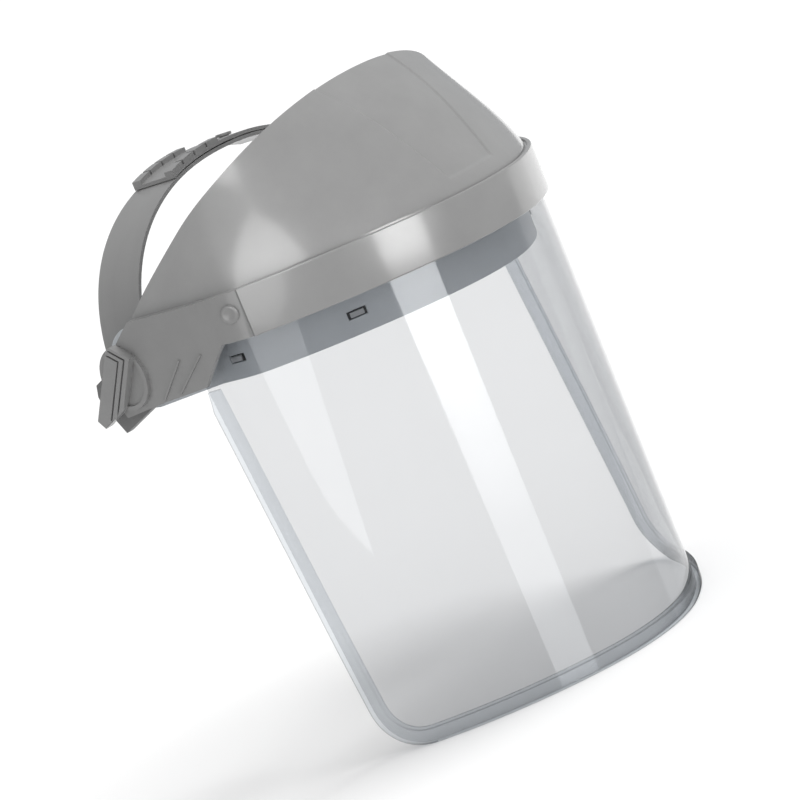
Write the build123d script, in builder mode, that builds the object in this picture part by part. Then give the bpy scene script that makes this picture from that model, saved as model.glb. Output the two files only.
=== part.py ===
from build123d import *
from math import atan2, cos, degrees, radians, sin
import os

# Face shield: a brow guard with a clear visor, hinged on a headband that has a swing-up rear strap.
# Frame: +Z up as worn, -Y is the front, +X is the wearer's left, the visor's lower rim stands on Z = 0.
# Millimetres. "Offset" is a distance outward from the visor sheet's outer face, in plan.

# ---- plan of the visor: three tangent arcs a side, from the middle of the front ----
NOSE_Y = -91.2            # front of the visor sheet
NOSE_R, FLANK_R, CHEEK_R = 80.4, 169.7, 41.7
NOSE_TURN, FLANK_TURN = 24.6, 58.3     # headings at which one arc hands over to the next

# ---- visor ----
VISOR_T = 1.2
VISOR_TOP_Z = 230.0
VISOR_REAR_LOW_Y = -2.8   # rear edge at the floor
VISOR_REAR_TOP_Y = 23.8   # rear edge at the top
VISOR_CORNER_R = 26.0
LIP_OUT, LIP_WIDE = 3.2, 7.0
LIP_TOP_Z = 191.0

# ---- brow guard ----
STEP_Z = 235.0            # ledge where the dome meets the skirt
SKIRT_LOW_Z = 211.3
SKIRT_OUT, SKIRT_IN = 4.0, 1.6
DOME_BASE_OUT = 0.5
DOME_WALL = 2.5
DOME_RISE = 70.0
DOME_REAR_Y = 48.0        # where the rear rim meets the ledge
DOME_APEX_Y = -41.0       # where the rear rim crosses the middle
SEAM_Y = -21.5            # front end of the side plates
FLANGE_IN, FLANGE_OUT, FLANGE_LOW_Z = 0.5, 2.0, 216.0

# ---- side plates ----
PLATE_IN, PLATE_OUT = 2.2, 4.6
PLATE_LOW_Z = 188.0
DISC_R, DISC_OUT, RING_OUT, RING_W = 16.0, 5.6, 6.6, 2.2
RIB_OUT, RIB_W = 5.3, 1.6
RIBS = (((8, 211), (31, 195)), ((23, 211), (43, 194)))     # upper and lower front corners, in Y and Z
PLATE_REAR = ((67.5, 221.5), (78, 203), (73, 190))         # corners in Y and Z, down the rear edge
PLATE_UNDER = ((43, 193), (14, 195), (-6, 212.6))          # and forward along the lower edge
SPRING_OUT, SPRING_FLOOR, SLIT_W = 9.6, 6.2, 0.9
SPRING_FRONT, SPRING_REAR, SPRING_HIGH, SPRING_LOW = -5.0, 9.6, -15.5, 28.0
SPRING_SLITS = ((-2.0, -13.4), (1.4, -10.6))   # across and along: where each bent slit turns its corner
SLIT_END = 22.0           # how far along the leaves the slits run

# ---- pivot, on one axis through both sides ----
PIVOT_Y, PIVOT_Z = 64.0, 209.3
PIN_R, RUN_CLEAR = 4.0, 0.05
PIN_HEAD_R, PIN_HEAD_IN = 7.0, -17.8
PIN_TIP_OUT = 3.1         # offset of the pin's tip, inside its blind socket
SOCKET_R, SOCKET_IN, SOCKET_END_OUT = 8.0, 0.2, 3.4
HUB_CORE_R, HUB_IN, HUB_OUT = 12.0, -4.9, -0.2
HUB_OUTLINE = ((50, 223.9), (81.8, 211.7), (90.7, 208.3), (92.7, 202.5), (92, 197.9), (83.5, 181.7),
               (55.2, 192.3), (45, 200))       # corners in Y and Z, from the upper front one round the rear
SPRING_LEAN = -52.4       # lean of the detent spring's leaves
WASHER_IN, WASHER_OUT, WASHER_R = -13.2, -11.6, 8.0

# ---- headband ----
BAND_OUT, BAND_T = -9.5, 1.8
BAND_LOW_Z, BAND_TOP_Z = 192.0, 216.0
BAND_EAR_Y, BAND_EYE_R = 18.0, 21.0
PAD_GAP, PAD_T, PAD_REAR_Y = 0.3, 4.0, 14.0
TAB_TURNS, TAB_Z = (-88, -42, 42, 88), 202.0
SLOT_LONG, SLOT_HIGH = 9.5, 3.8
TAB_LONG, TAB_HIGH, TAB_OUT = 7.0, 2.6, -8.7
TAB_NECK = 4.0            # length of the tab's neck, inside its slot

# ---- visor studs ----
STUD_Y, STUD_Z = -16.9, 225.0
STUD_SHANK_R, STUD_HEAD_R, STUD_HEAD_T = 2.5, 4.4, 1.5
STUD_HEAD_TAPER = 25.0    # degrees
STUD_WASHER_R, STUD_WASHER_T, STUD_WASHER_GAP = 5.5, 1.6, 0.5
STUD_HOLE_IN, STUD_HOLE_LONG = -5.2, 14.0      # the hole goes through every layer

# ---- hooks inside the skirt that hold the front of the visor's top edge ----
CLIP_TURNS = (-35, 0, 35)
CLIP_LONG, CLIP_LOW_Z, CLIP_T = 14.0, 221.0, 1.8

# ---- rear strap: an upright superellipse arch when swung up ----
STRAP_HALF, STRAP_RISE, STRAP_BASE_DZ, STRAP_POWER = 99.9, 89.0, -10.0, 2.27
STRAP_Y, STRAP_W, STRAP_T = 76.2, 30.0, 1.8
STRAP_EYE_R = 11.0
LAP_GAP = 0.6             # between the two lapped halves
EAR_RISE, EAR_EDGE = 8.0, 2.0          # how far above the pivot the flat foot reaches, and its upright edge
TIP_X, UNDER_X = 39.0, 42.0            # ends of the outer and the inner half, past the middle
PEG_X, PEG_R, PEG_HEAD_R, PEG_HEAD_T = 18.0, 2.4, 4.2, 1.6
PEG_HEAD_GAP, PEG_TIP = 0.15, 0.8      # gap under the head, and how far the tip stands out inside
HOLE_PITCH, HOLE_COUNT = 8.0, 6
GUIDE_LONG, GUIDE_PITCH, GUIDE_WIDE, GUIDE_HIGH, GUIDE_COUNT = 8.4, 9.6, 6.0, 2.4, 4
GUIDE_ROOT = 0.2          # how deep the guide blocks are sunk in the strap
ARCH_STEPS = 12           # spans of the arch's spline, even, from foot to foot

CLEAR = 0.3               # between pieces that only sit beside each other
THIN_GAP = 0.1            # behind the hooks and the tabs' necks
FAR = 200.0               # past everything, for cutting tools

os.makedirs("parts", exist_ok=True)

# ---- worked out from the driving sizes ----
NOSE_C = (0.0, NOSE_Y + NOSE_R)
FLANK_C = (NOSE_C[0] - (FLANK_R - NOSE_R) * sin(radians(NOSE_TURN)),
           NOSE_C[1] + (FLANK_R - NOSE_R) * cos(radians(NOSE_TURN)))
CHEEK_C = (FLANK_C[0] + (FLANK_R - CHEEK_R) * sin(radians(FLANK_TURN)),
           FLANK_C[1] - (FLANK_R - CHEEK_R) * cos(radians(FLANK_TURN)))
SIDE_X = CHEEK_C[0] + CHEEK_R          # half width of the sheet where its sides run straight back
SIDE_Y = CHEEK_C[1]


def plan_point(heading, offset):
    """Point of the plan curve where its outward normal has this heading (0 is straight ahead)."""
    turn, side = abs(heading), (1 if heading >= 0 else -1)
    if turn <= NOSE_TURN:
        centre, radius = NOSE_C, NOSE_R
    elif turn <= FLANK_TURN:
        centre, radius = FLANK_C, FLANK_R
    else:
        centre, radius = CHEEK_C, CHEEK_R
    reach = radius + offset
    return side * (centre[0] + reach * sin(radians(turn))), centre[1] - reach * cos(radians(turn))


def plan_face(offset, rear_y, mode=Mode.ADD):
    """Face inside the plan curve at this offset, closed straight across at rear_y, well behind its arcs."""
    half = SIDE_X + offset
    with BuildLine() as outline:
        CenterArc(NOSE_C, NOSE_R + offset, -90 - NOSE_TURN, 2 * NOSE_TURN)
        for side in (1, -1):
            flank_c, cheek_c = (side * FLANK_C[0], FLANK_C[1]), (side * CHEEK_C[0], CHEEK_C[1])
            CenterArc(flank_c, FLANK_R + offset, -90 + side * NOSE_TURN, side * (FLANK_TURN - NOSE_TURN))
            CenterArc(cheek_c, CHEEK_R + offset, -90 + side * FLANK_TURN, side * (90 - FLANK_TURN))
            Line((side * half, SIDE_Y), (side * half, rear_y))
        Line((-half, rear_y), (half, rear_y))
    make_face(outline.edges(), mode=mode)


def plan_wall(low_z, high_z, inner, outer, rear_y, mode=Mode.ADD):
    """Upright wall that follows the plan curve, open at the rear."""
    with BuildSketch(Plane.XY.offset(low_z)) as plan:
        plan_face(outer, FAR)
        plan_face(inner, 2 * FAR, Mode.SUBTRACT)
        with Locations((0, rear_y + FAR)):
            Rectangle(2 * FAR, 2 * FAR, mode=Mode.SUBTRACT)
    extrude(plan.sketch, amount=high_z - low_z, mode=mode)


def side_plane(side, offset):
    """Plane on one straight side: x runs to the rear, z runs outward, y is up or down by the side."""
    return Plane(origin=(side * (SIDE_X + offset), PIVOT_Y, PIVOT_Z), x_dir=(0, 1, 0), z_dir=(side, 0, 0))


def side_point(side, y, z):
    """A point of the object's Y and Z, in side_plane coordinates."""
    return y - PIVOT_Y, side * (z - PIVOT_Z)


def side_disc(side, inner, outer, radius, mode=Mode.ADD):
    """Round slab on the pivot axis between two offsets."""
    with BuildSketch(side_plane(side, inner)) as disc:
        Circle(radius)
    extrude(disc.sketch, amount=outer - inner, mode=mode)


def wall_plane(heading, offset, z):
    """Plane square to a wall that follows the plan curve: x along the wall, y up, z outward."""
    x, y = plan_point(heading, offset)
    turn = radians(heading)
    return Plane(origin=(x, y, z), x_dir=(cos(turn), sin(turn), 0), z_dir=(sin(turn), -cos(turn), 0))


def stud_plane(side, offset):
    """Plane square to the sheet at the visor stud."""
    heading = 90 - degrees(atan2(SIDE_Y - STUD_Y, CHEEK_R + PLATE_OUT))
    return wall_plane(side * heading, offset, STUD_Z)


def stud_hole(side):
    """Clearance hole for the visor stud, through every layer."""
    with BuildSketch(stud_plane(side, STUD_HOLE_IN)) as hole:
        Circle(STUD_SHANK_R + RUN_CLEAR)
    extrude(hole.sketch, amount=STUD_HOLE_LONG, mode=Mode.SUBTRACT)


# ---- visor: one bent sheet with a rounded lip along its free edges ----

def visor_outline(inset, low_z, high_z, mode=Mode.ADD):
    """Side outline of the sheet: sloping rear edge and round lower corner, both drawn in by inset."""
    lean = (VISOR_REAR_TOP_Y - VISOR_REAR_LOW_Y) / VISOR_TOP_Z
    front_y = NOSE_Y - FAR
    low = (VISOR_REAR_LOW_Y + lean * low_z - inset, low_z)
    high = (VISOR_REAR_LOW_Y + lean * high_z - inset, high_z)
    with BuildLine() as outline:
        FilletPolyline((front_y, low_z), low, high, radius=VISOR_CORNER_R - inset)
        Polyline(high, (front_y, high_z), (front_y, low_z))
    make_face(outline.edges(), mode=mode)


with BuildPart() as visor_lip:
    plan_wall(0, LIP_TOP_Z, -VISOR_T / 2, LIP_OUT, DOME_REAR_Y)
    with BuildSketch(Plane.YZ.offset(-FAR)):
        visor_outline(0, 0, LIP_TOP_Z)
        visor_outline(LIP_WIDE, LIP_WIDE, VISOR_TOP_Z, Mode.SUBTRACT)
    extrude(amount=2 * FAR, mode=Mode.INTERSECT)

with BuildPart() as visor:
    plan_wall(0, VISOR_TOP_Z, -VISOR_T, 0, DOME_REAR_Y)
    with BuildSketch(Plane.YZ.offset(-FAR)):
        visor_outline(0, 0, VISOR_TOP_Z)
    extrude(amount=2 * FAR, mode=Mode.INTERSECT)
    add(visor_lip.part)
    for side in (1, -1):
        stud_hole(side)

visor.part.label = "visor"
export_step(visor.part, "parts/visor.step")


# ---- brow dome: a shell that rises from the plan curve to a leaning rear rim, over a skirt ----

def dome_section(rise, inset, low_z=STEP_Z):
    """Level outline of the dome at this share of its rise, drawn in by inset."""
    narrow = 1 - 0.72 * rise ** 2 * (1 - 0.78 * rise) - inset / SIDE_X
    shorten = 1 - 0.27 * rise - 0.10 * rise ** 4 - inset / (DOME_REAR_Y - NOSE_Y)
    points = []
    for heading in range(-90, 91, 15):
        x, y = plan_point(heading, DOME_BASE_OUT)
        points.append((x * narrow, DOME_REAR_Y + (y - DOME_REAR_Y) * shorten))
    with BuildSketch(Plane.XY.offset(low_z + rise * DOME_RISE)) as level:
        with BuildLine():
            Spline(points, tangents=((0, -1), (0, 1)))
            Polyline(points[-1], (points[-1][0], DOME_REAR_Y + 20), (points[0][0], DOME_REAR_Y + 20), points[0])
        make_face()
    return level.sketch


DOME_LEVELS = [0, 0.15, 0.3, 0.45, 0.6, 0.75, 0.9, 1.05]
RIM_PLANE = Plane(origin=(0, DOME_REAR_Y, STEP_Z), x_dir=(1, 0, 0),
                  z_dir=(0, -DOME_RISE, DOME_APEX_Y - DOME_REAR_Y))

with BuildPart() as brow_dome:
    loft([dome_section(rise, 0) for rise in DOME_LEVELS])
    loft([dome_section(rise, DOME_WALL, STEP_Z - DOME_WALL) for rise in DOME_LEVELS], mode=Mode.SUBTRACT)
    split(bisect_by=RIM_PLANE, keep=Keep.TOP)
    plan_wall(STEP_Z - DOME_WALL, STEP_Z, DOME_BASE_OUT - DOME_WALL, FLANGE_OUT, DOME_REAR_Y)
    plan_wall(FLANGE_LOW_Z, STEP_Z, FLANGE_IN, FLANGE_OUT, DOME_REAR_Y)
    plan_wall(SKIRT_LOW_Z, STEP_Z, SKIRT_IN, SKIRT_OUT, SEAM_Y)
    for side in (1, -1):
        stud_hole(side)

brow_dome.part.label = "brow_dome"
export_step(brow_dome.part, "parts/brow_dome.step")

# Hooks inside the skirt that hold the front of the visor's top edge.
with BuildPart() as visor_clips:
    plan_wall(CLIP_LOW_Z, STEP_Z - DOME_WALL, -VISOR_T - CLIP_T - THIN_GAP, -VISOR_T - THIN_GAP, DOME_REAR_Y)
    with BuildSketch(Plane.XY.offset(CLIP_LOW_Z)):
        for turn in CLIP_TURNS:
            with Locations(Pos(*plan_point(turn, 0)) * Rot(0, 0, turn)):
                Rectangle(CLIP_LONG, CLIP_LONG)
    extrude(amount=FAR, mode=Mode.INTERSECT)

visor_clips.part.label = "visor_clips"
export_step(visor_clips.part, "parts/visor_clips.step")


# ---- side plates, with the round boss that turns on the pivot ----

def plate_outline():
    """Side outline of a plate, in the object's Y and Z."""
    Polygon((SEAM_Y + CLEAR, STEP_Z - CLEAR), (DOME_REAR_Y, STEP_Z - CLEAR), *PLATE_REAR, *PLATE_UNDER,
            (SEAM_Y + CLEAR, SKIRT_LOW_Z + CLEAR), align=None)


def lean_point(across, along):
    """Object Y and Z of a point set out from the pivot across and along the detent spring's leaves."""
    lean = radians(SPRING_LEAN)
    return (PIVOT_Y - across * sin(lean) + along * cos(lean), PIVOT_Z + across * cos(lean) + along * sin(lean))


def lean_polygon(points, mode=Mode.ADD):
    """Polygon on Plane.YZ from points given across and along the leaves."""
    Polygon(*[lean_point(across, along) for across, along in points], align=None, mode=mode)


with BuildPart() as side_plate_right:
    plan_wall(PLATE_LOW_Z, STEP_Z, PLATE_IN, PLATE_OUT, PIVOT_Y + DISC_R)
    with BuildSketch(Plane.YZ.offset(-FAR)):
        plate_outline()
    extrude(amount=FAR, mode=Mode.INTERSECT)
    side_disc(-1, PLATE_IN, DISC_OUT, DISC_R)
    side_disc(-1, DISC_OUT, RING_OUT, DISC_R)
    side_disc(-1, DISC_OUT, RING_OUT, DISC_R - RING_W, Mode.SUBTRACT)
    with BuildSketch(Plane.YZ.offset(-SIDE_X - PLATE_OUT)):
        lean_polygon([(SPRING_FRONT, -FAR), (SPRING_FRONT, FAR), (FAR, FAR), (FAR, -FAR)])
    extrude(amount=-(SPRING_OUT - PLATE_OUT), mode=Mode.SUBTRACT)
    side_disc(-1, SOCKET_IN, PLATE_IN, SOCKET_R)
    side_disc(-1, SOCKET_IN, SOCKET_END_OUT, PIN_R + RUN_CLEAR, Mode.SUBTRACT)
    with BuildSketch(Plane.YZ.offset(-SIDE_X - RIB_OUT)):
        for upper, lower in RIBS:
            Polygon(upper, (upper[0] + RIB_W, upper[1]), (lower[0] + RIB_W, lower[1]), lower, align=None)
    extrude(amount=RIB_OUT - PLATE_OUT)
    stud_hole(-1)

# The detent spring: a leaning stack of leaves, cut by two bent slits, on the rear half of the boss.
with BuildPart() as detent_spring_right:
    with BuildSketch(Plane.YZ.offset(-SIDE_X - PLATE_OUT)):
        lean_polygon([(SPRING_FRONT, SPRING_HIGH), (SPRING_REAR - 2, SPRING_HIGH),
                      (SPRING_REAR, SPRING_HIGH + 2), (SPRING_REAR, SPRING_LOW),
                      (4, SPRING_LOW + 1.5), (SPRING_FRONT, 14)])
    extrude(amount=-(SPRING_OUT - PLATE_OUT))
    with BuildSketch(Plane.YZ.offset(-SIDE_X - SPRING_OUT)):
        for across, along in SPRING_SLITS:
            half = SLIT_W / 2
            lean_polygon([(SPRING_REAR + 1, along - half), (SPRING_REAR + 1, along + half),
                          (across + half, along + half), (across + half, SLIT_END + across),
                          (across - half, SLIT_END + across), (across - half, along - half)])
    extrude(amount=SPRING_OUT - SPRING_FLOOR, mode=Mode.SUBTRACT)

# The hub behind the plate, pressed on the pin: its rear end looks out past the plate, under the spring.
with BuildPart() as hub_right:
    side_disc(-1, BAND_OUT, HUB_IN, HUB_CORE_R)
    with BuildSketch(Plane.YZ.offset(-SIDE_X - HUB_IN)):
        Polygon(*HUB_OUTLINE, align=None)
    extrude(amount=-(HUB_OUT - HUB_IN))
    side_disc(-1, BAND_OUT, HUB_OUT, PIN_R, Mode.SUBTRACT)

with BuildPart() as pivot_pin_right:
    side_disc(-1, PIN_HEAD_IN, PIN_TIP_OUT, PIN_R)
    side_disc(-1, PIN_HEAD_IN, PIN_HEAD_IN + 2, PIN_HEAD_R)

with BuildPart() as pivot_washer_right:
    side_disc(-1, WASHER_IN, WASHER_OUT, WASHER_R)
    side_disc(-1, WASHER_IN, WASHER_OUT, PIN_R + RUN_CLEAR, Mode.SUBTRACT)

with BuildPart() as visor_stud_right:
    with BuildSketch(stud_plane(-1, PLATE_OUT)):
        Circle(STUD_HEAD_R)
    extrude(amount=STUD_HEAD_T, taper=STUD_HEAD_TAPER)
    with BuildSketch(stud_plane(-1, PLATE_OUT)):
        Circle(STUD_SHANK_R)
    extrude(amount=-(PLATE_OUT + VISOR_T + STUD_WASHER_GAP + STUD_WASHER_T))

with BuildPart() as stud_washer_right:
    with BuildSketch(stud_plane(-1, -VISOR_T - STUD_WASHER_GAP)):
        Circle(STUD_WASHER_R)
        Circle(STUD_SHANK_R + RUN_CLEAR, mode=Mode.SUBTRACT)
    extrude(amount=-STUD_WASHER_T)

for right, name in ((side_plate_right, "side_plate"), (detent_spring_right, "detent_spring"),
                    (hub_right, "hub"), (pivot_pin_right, "pivot_pin"), (pivot_washer_right, "pivot_washer"),
                    (visor_stud_right, "visor_stud"), (stud_washer_right, "stud_washer")):
    right.part.label = name + "_right"
    export_step(right.part, f"parts/{name}_right.step")
    with BuildPart() as left:
        mirror(right.part, about=Plane.YZ)
    left.part.label = name + "_left"
    export_step(left.part, f"parts/{name}_left.step")


# ---- headband: a forehead band with an ear at each end, its sweat pad and the pad's tabs ----

def wall_box(heading, z, inner, outer, long, high, mode=Mode.ADD):
    """Small block square to the wall at this heading."""
    with BuildSketch(wall_plane(heading, inner, z)) as block:
        Rectangle(long, high)
    extrude(block.sketch, amount=outer - inner, mode=mode)


with BuildPart() as forehead_band:
    plan_wall(BAND_LOW_Z, BAND_TOP_Z, BAND_OUT - BAND_T, BAND_OUT, BAND_EAR_Y)
    for side in (1, -1):
        with BuildSketch(side_plane(side, BAND_OUT - BAND_T)) as ear:
            with BuildLine() as ear_line:
                CenterArc((0, 0), BAND_EYE_R, 0, 360)
                Line(side_point(side, BAND_EAR_Y - 1, BAND_LOW_Z), side_point(side, BAND_EAR_Y - 1, BAND_TOP_Z))
            make_hull(ear_line.edges())
            Circle(PIN_R, mode=Mode.SUBTRACT)
        extrude(amount=BAND_T)
    for heading in TAB_TURNS:
        wall_box(heading, TAB_Z, BAND_OUT - 2 * BAND_T, BAND_OUT + 1, SLOT_LONG, SLOT_HIGH, Mode.SUBTRACT)

forehead_band.part.label = "forehead_band"
export_step(forehead_band.part, "parts/forehead_band.step")

PAD_OUT = BAND_OUT - BAND_T - PAD_GAP

with BuildPart() as sweat_pad:
    plan_wall(BAND_LOW_Z + 1, BAND_TOP_Z + 1, PAD_OUT - PAD_T, PAD_OUT, PAD_REAR_Y)

sweat_pad.part.label = "sweat_pad"
export_step(sweat_pad.part, "parts/sweat_pad.step")

with BuildPart() as pad_tabs:
    for heading in TAB_TURNS:
        wall_box(heading, TAB_Z, PAD_OUT + THIN_GAP, TAB_OUT, TAB_NECK, TAB_HIGH)
        wall_box(heading, TAB_Z, BAND_OUT + RUN_CLEAR, TAB_OUT, TAB_LONG, TAB_HIGH)

pad_tabs.part.label = "pad_tabs"
export_step(pad_tabs.part, "parts/pad_tabs.step")


# ---- rear strap: two lapped halves of an arch, an eye on each pivot pin, and a locking peg ----

STRAP_BASE_Z = PIVOT_Z + STRAP_BASE_DZ
STRAP_OUT = STRAP_HALF - SIDE_X        # offset of the strap's outer face at the pivot
LAP_LIFT = STRAP_T + LAP_GAP           # how much higher the outer half runs
STRAP_LOW_Y, STRAP_HIGH_Y = STRAP_Y - STRAP_W / 2, STRAP_Y + STRAP_W / 2


def arch_edge(half, rise):
    """Superellipse arch on the strap's plane, from one foot over the top to the other."""
    points = []
    for step in range(ARCH_STEPS + 1):
        turn = radians(180 * step / ARCH_STEPS)
        side = -1 if 2 * step < ARCH_STEPS else 1
        points.append((side * half * abs(cos(turn)) ** (2 / STRAP_POWER),
                       STRAP_BASE_Z + rise * sin(turn) ** (2 / STRAP_POWER)))
    Spline(points, tangents=((0, 1), (0, -1)))
    return points


def arch_band(lift, thick, low_x, high_x, low_y, high_y, mode=Mode.ADD):
    """Length of an arched band between two X and two Y, its outer face raised by lift."""
    with BuildSketch(Plane.XZ.offset(-low_y)) as arch:
        with BuildLine():
            outer = arch_edge(STRAP_HALF, STRAP_RISE + lift)
            inner = arch_edge(STRAP_HALF - thick, STRAP_RISE + lift - thick)
            Line(outer[0], inner[0])
            Line(outer[-1], inner[-1])
        make_face()
        with Locations(((low_x + high_x) / 2, PIVOT_Z + EAR_RISE - EAR_EDGE / 2 + FAR / 2)):
            Rectangle(high_x - low_x, FAR, mode=Mode.INTERSECT)
    extrude(arch.sketch, amount=low_y - high_y, mode=mode)


def strap_ear(side):
    """Flat foot of a strap half, from the pivot eye to the band."""
    with BuildSketch(side_plane(side, STRAP_OUT - STRAP_T)) as foot:
        with BuildLine() as foot_line:
            CenterArc((0, 0), STRAP_EYE_R, 0, 360)
            Polyline(side_point(side, STRAP_LOW_Y, PIVOT_Z + EAR_RISE - EAR_EDGE),
                     side_point(side, STRAP_LOW_Y, PIVOT_Z + EAR_RISE),
                     side_point(side, STRAP_HIGH_Y, PIVOT_Z + EAR_RISE),
                     side_point(side, STRAP_HIGH_Y, PIVOT_Z + EAR_RISE - EAR_EDGE), close=True)
        make_hull(foot_line.edges())
    extrude(foot.sketch, amount=STRAP_T)
    side_disc(side, STRAP_OUT - 2 * STRAP_T, STRAP_OUT + STRAP_T, PIN_R + RUN_CLEAR, Mode.SUBTRACT)


def arch_plane(x, height=0):
    """Plane square to the outer half's outer face above this X, moved out by height."""
    top, share = STRAP_RISE + LAP_LIFT, abs(x) / STRAP_HALF
    rise = (1 - share ** STRAP_POWER) ** (1 / STRAP_POWER)
    tilt = ((1 if x > 0 else -1) * share ** (STRAP_POWER - 1) / STRAP_HALF, rise ** (STRAP_POWER - 1) / top)
    face = Plane(origin=(x, STRAP_Y, STRAP_BASE_Z + top * rise), x_dir=(0, 1, 0), z_dir=(tilt[0], 0, tilt[1]))
    return face.offset(height)


def peg_hole(x):
    """Round hole for the locking peg, square to the outer half and through whichever half it is cut in."""
    with BuildSketch(arch_plane(x)) as hole:
        Circle(PEG_R + RUN_CLEAR)
    extrude(hole.sketch, amount=LAP_LIFT + 2 * STRAP_T, both=True, mode=Mode.SUBTRACT)


with BuildPart() as rear_strap_right:
    arch_band(0, STRAP_T, -STRAP_HALF - 1, UNDER_X, STRAP_LOW_Y, STRAP_HIGH_Y)
    strap_ear(-1)
    for number in range(HOLE_COUNT):
        peg_hole(PEG_X + (1 - number) * HOLE_PITCH)

rear_strap_right.part.label = "rear_strap_right"
export_step(rear_strap_right.part, "parts/rear_strap_right.step")

with BuildPart() as rear_strap_left:
    arch_band(LAP_LIFT, STRAP_T, -TIP_X, STRAP_HALF + 1, STRAP_LOW_Y, STRAP_HIGH_Y)
    for number in range(GUIDE_COUNT):
        for row_y in (STRAP_LOW_Y, STRAP_HIGH_Y - GUIDE_WIDE):
            start = -TIP_X + number * GUIDE_PITCH
            arch_band(LAP_LIFT + GUIDE_HIGH, GUIDE_HIGH + GUIDE_ROOT, start, start + GUIDE_LONG,
                      row_y, row_y + GUIDE_WIDE)
    strap_ear(1)
    peg_hole(PEG_X)

rear_strap_left.part.label = "rear_strap_left"
export_step(rear_strap_left.part, "parts/rear_strap_left.step")

with BuildPart() as strap_peg:
    with BuildSketch(arch_plane(PEG_X, PEG_HEAD_GAP)):
        Circle(PEG_HEAD_R)
    extrude(amount=PEG_HEAD_T)
    with BuildSketch(arch_plane(PEG_X, PEG_HEAD_GAP)):
        Circle(PEG_R)
    extrude(amount=-(PEG_HEAD_GAP + LAP_LIFT + STRAP_T + PEG_TIP))

strap_peg.part.label = "strap_peg"
export_step(strap_peg.part, "parts/strap_peg.step")
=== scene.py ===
# %% [markdown]
# A face shield: a grey brow guard holds a bent clear visor, and turns on a headband that has a rear
# strap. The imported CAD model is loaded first. It gives the place and size of everything, and each
# piece made here rides on one of its bodies.

# %% Load the frame
import math
import bmesh
import bpy
import numpy as np
from mathutils import Matrix, Vector


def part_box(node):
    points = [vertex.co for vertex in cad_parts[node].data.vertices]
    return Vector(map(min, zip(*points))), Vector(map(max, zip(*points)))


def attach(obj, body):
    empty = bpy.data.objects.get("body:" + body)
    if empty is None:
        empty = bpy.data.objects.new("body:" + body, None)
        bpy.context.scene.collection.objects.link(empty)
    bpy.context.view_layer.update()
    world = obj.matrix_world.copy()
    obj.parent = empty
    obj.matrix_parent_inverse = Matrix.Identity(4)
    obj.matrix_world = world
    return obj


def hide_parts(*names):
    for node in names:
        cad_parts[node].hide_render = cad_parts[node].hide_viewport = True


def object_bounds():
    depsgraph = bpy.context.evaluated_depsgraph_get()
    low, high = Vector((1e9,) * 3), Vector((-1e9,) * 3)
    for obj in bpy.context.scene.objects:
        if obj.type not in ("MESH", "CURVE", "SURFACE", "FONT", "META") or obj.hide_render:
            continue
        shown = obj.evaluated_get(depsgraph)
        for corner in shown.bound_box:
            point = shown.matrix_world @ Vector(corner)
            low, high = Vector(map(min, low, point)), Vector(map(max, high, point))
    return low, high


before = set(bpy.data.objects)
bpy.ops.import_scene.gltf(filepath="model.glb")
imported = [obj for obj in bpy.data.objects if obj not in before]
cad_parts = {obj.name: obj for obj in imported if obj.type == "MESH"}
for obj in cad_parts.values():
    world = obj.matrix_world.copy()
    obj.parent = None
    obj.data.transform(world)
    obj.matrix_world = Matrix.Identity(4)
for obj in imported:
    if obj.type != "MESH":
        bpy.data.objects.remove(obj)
cad_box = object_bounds()
scene = bpy.context.scene
MM = 0.001
print("CAD box", [list(corner) for corner in cad_box])

# %% [markdown]
# The camera stands at the shield's front right, a little above it, and is tilted to one side, so the
# shield leans in the picture although it stands level. A long lens keeps the perspective flat.

# %% Camera
CAMERA_HEADING = math.radians(-45.934)
CAMERA_HEIGHT = math.radians(9.654)
CAMERA_ROLL = math.radians(-22.338)
CAMERA_DISTANCE = 1.591
CAMERA_LENS = 148.51
AIM_OFFSET = Vector((-0.0306, -0.0135, -0.0047))


def camera_axes(heading, height, roll):
    """Right, up and back of a camera: level axes for a heading and a height, then turned about back."""
    level = Vector((math.cos(heading), math.sin(heading), 0))
    ahead = Vector((math.sin(heading), -math.cos(heading), 0))
    back = ahead * math.cos(height) + Vector((0, 0, math.sin(height)))
    top = back.cross(level)
    right = math.cos(roll) * level + math.sin(roll) * top
    return right, back.cross(right), back


right, up, back = camera_axes(CAMERA_HEADING, CAMERA_HEIGHT, CAMERA_ROLL)
middle = (Vector(cad_box[0]) + Vector(cad_box[1])) / 2
camera_data = bpy.data.cameras.new("camera")
camera_data.lens = CAMERA_LENS
camera_data.sensor_width = 36
camera_data.clip_end = 200
camera = bpy.data.objects.new("camera", camera_data)
scene.collection.objects.link(camera)
turn = Matrix((right, up, back)).transposed().to_4x4()
camera.matrix_world = Matrix.Translation(middle + AIM_OFFSET + back * CAMERA_DISTANCE) @ turn
scene.camera = camera
print("camera at", list(camera.matrix_world.translation))

# %% [markdown]
# A mesh here is a grid of points worked out with numpy. A grid can be closed round one way, as a
# section carried along a path is, and its two ends are then capped.

# %% Grid helper


def grid_mesh(name, points, ring=True, caps=True, smooth_angle=38):
    """Mesh from points[along, round]: each face joins four neighbours; ring closes round, caps the ends."""
    along, around = points.shape[:2]
    index = np.arange(along * around).reshape(along, around)
    if ring:
        index = np.concatenate([index, index[:, :1]], axis=1)
    faces = np.stack([index[:-1, :-1], index[1:, :-1], index[1:, 1:], index[:-1, 1:]], axis=-1)
    faces = faces.reshape(-1, 4).tolist()
    if caps:
        faces.append(list(range(around))[::-1])
        faces.append(list(range((along - 1) * around, along * around)))
    mesh = bpy.data.meshes.new(name)
    mesh.from_pydata(points.reshape(-1, 3), [], faces)
    return finished(name, mesh, smooth_angle)


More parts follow.
